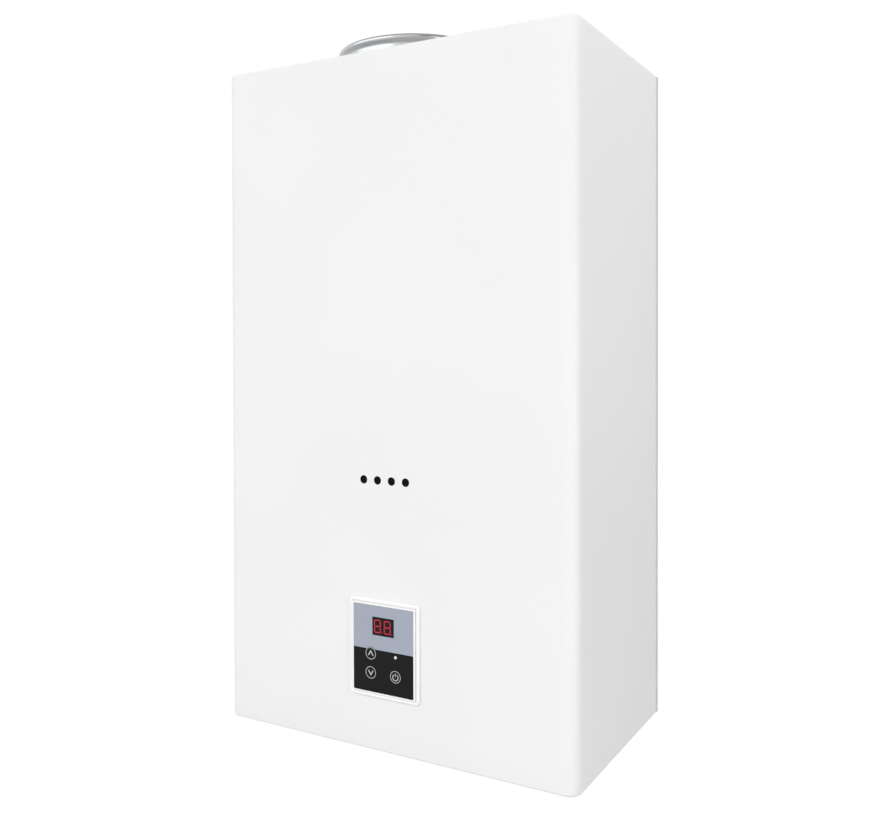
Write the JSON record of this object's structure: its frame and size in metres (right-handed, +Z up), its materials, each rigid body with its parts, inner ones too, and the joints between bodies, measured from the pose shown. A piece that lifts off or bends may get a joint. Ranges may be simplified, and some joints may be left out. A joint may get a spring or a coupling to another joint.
{
  "type": "gas water heater",
  "caption": "Wall-hung instantaneous gas water heater: white sheet-steel case that pulls off a working chassis, with flue collar, sight holes and a key panel.",
  "frame": {"origin": "midway between the two hanging holes, on the wall face of the back plate", "axes": "+Z up, +Y into the wall, +X to the right of someone facing the front"},
  "size_m": [0.342, 0.207, 0.6395],
  "materials": {
    "powder_coat_white": "white powder coat with a fine orange peel",
    "galvanised_sheet": "galvanised sheet, soft spangle",
    "collar_steel": "bright rolled sheet",
    "stainless": "satin stainless",
    "zinc_screw": "zinc-plated",
    "copper": "drawn copper, lightly tarnished",
    "brass": "machined brass",
    "die_cast": "die-cast aluminium",
    "winding": "varnished winding with moulded flanges",
    "steel_dark": "turned steel",
    "ceramic": "glazed insulator",
    "lead_rubber": "silicone lead",
    "black_plastic": "fine moulded texture",
    "grey_plastic": "fine moulded texture",
    "white_plastic": "satin moulded",
    "overlay": "printed film, grey over black",
    "display_black": "smoked face",
    "segment_red": "lit segments",
    "key_black": "satin cap",
    "led_white": "diffusing lens",
    "board_green": "solder mask",
    "cell_sleeve": "plain shrink sleeve",
    "contact_metal": "plated spring contact",
    "sight_pane": "clear pane"
  },
  "bodies": {
    "chassis": {"back_plate": "galvanised_sheet", "top_panel": "powder_coat_white", "bottom_panel": "powder_coat_white", "cover_screws": "zinc_screw", "flue_collar": "collar_steel", "collar_screws": "zinc_screw", "flue_hood": "galvanised_sheet", "flue_spigot": "galvanised_sheet", "exchanger_shell": "copper", "exchanger_fins": "copper", "fin_tubes": "copper", "jacket_coil": "copper", "hot_pipe": "copper", "exchanger_brackets": "galvanised_sheet", "overheat_thermostat": "black_plastic", "burner_bars": "stainless", "burner_frame": "galvanised_sheet", "gas_manifold": "galvanised_sheet", "injector_nozzles": "brass", "electrode_ceramics": "ceramic", "electrode_rods": "steel_dark", "electrode_plates": "stainless", "electrode_leads": "lead_rubber", "gas_valve_body": "die_cast", "solenoid_coils": "winding", "solenoid_yokes": "zinc_screw", "gas_pipe": "galvanised_sheet", "gas_inlet_nipple": "brass", "cold_inlet_nipple": "brass", "inlet_filter": "grey_plastic", "flow_sensor_body": "black_plastic", "hot_outlet_nipple": "brass", "drain_plug": "brass", "outlet_thermistor": "brass", "control_box": "black_plastic", "control_lid": "grey_plastic", "ignition_unit": "black_plastic", "battery_box": "white_plastic", "battery_cells": "cell_sleeve", "battery_contacts": "contact_metal", "battery_hinge_pin": "steel_dark"},
    "cover": {"front_cover": "powder_coat_white", "panel_bezel": "white_plastic", "panel_overlay": "overlay", "display_module": "display_black", "display_segments": "segment_red", "status_led": "led_white", "panel_board": "board_green", "tact_switches": "black_plastic", "panel_tray": "white_plastic", "sight_glass": "sight_pane", "sight_glass_holder": "stainless"},
    "key_up": {"key_up": "key_black"},
    "key_down": {"key_down": "key_black"},
    "key_power": {"key_power": "key_black"},
    "battery_door": {"battery_door": "white_plastic", "battery_bridge": "contact_metal"},
    "flow_rotor": {"flow_rotor": "white_plastic"},
    "safety_plunger": {"safety_plunger": "steel_dark"},
    "main_plunger": {"main_plunger": "steel_dark"}
  },
  "joints": [
    {"name": "cover_slide", "type": "slide", "parent": "chassis", "child": "cover", "axis": [0, -1, 0], "range_m": [0, 0.26]},
    {"name": "key_up_press", "type": "slide", "parent": "cover", "child": "key_up", "axis": [0, 1, 0], "range_m": [0, 0.0005], "stiffness_N_per_m": 2000},
    {"name": "key_down_press", "type": "slide", "parent": "cover", "child": "key_down", "axis": [0, 1, 0], "range_m": [0, 0.0005], "stiffness_N_per_m": 2000},
    {"name": "key_power_press", "type": "slide", "parent": "cover", "child": "key_power", "axis": [0, 1, 0], "range_m": [0, 0.0005], "stiffness_N_per_m": 2000},
    {"name": "battery_door_swing", "type": "hinge", "parent": "chassis", "child": "battery_door", "pos_m": [0.108, -0.1444, -0.553], "axis": [1, 0, 0], "range_deg": [0, 95]},
    {"name": "flow_rotor_spin", "type": "hinge", "parent": "chassis", "child": "flow_rotor", "pos_m": [0.1, -0.07, -0.488], "axis": [0, 0, 1], "continuous": true},
    {"name": "safety_plunger_lift", "type": "slide", "parent": "chassis", "child": "safety_plunger", "axis": [0, 0, 1], "range_m": [0, 0.0025], "stiffness_N_per_m": 300, "springref_m": -0.001},
    {"name": "main_plunger_lift", "type": "slide", "parent": "chassis", "child": "main_plunger", "axis": [0, 0, 1], "range_m": [0, 0.0025], "stiffness_N_per_m": 300, "springref_m": -0.001}
  ]
}
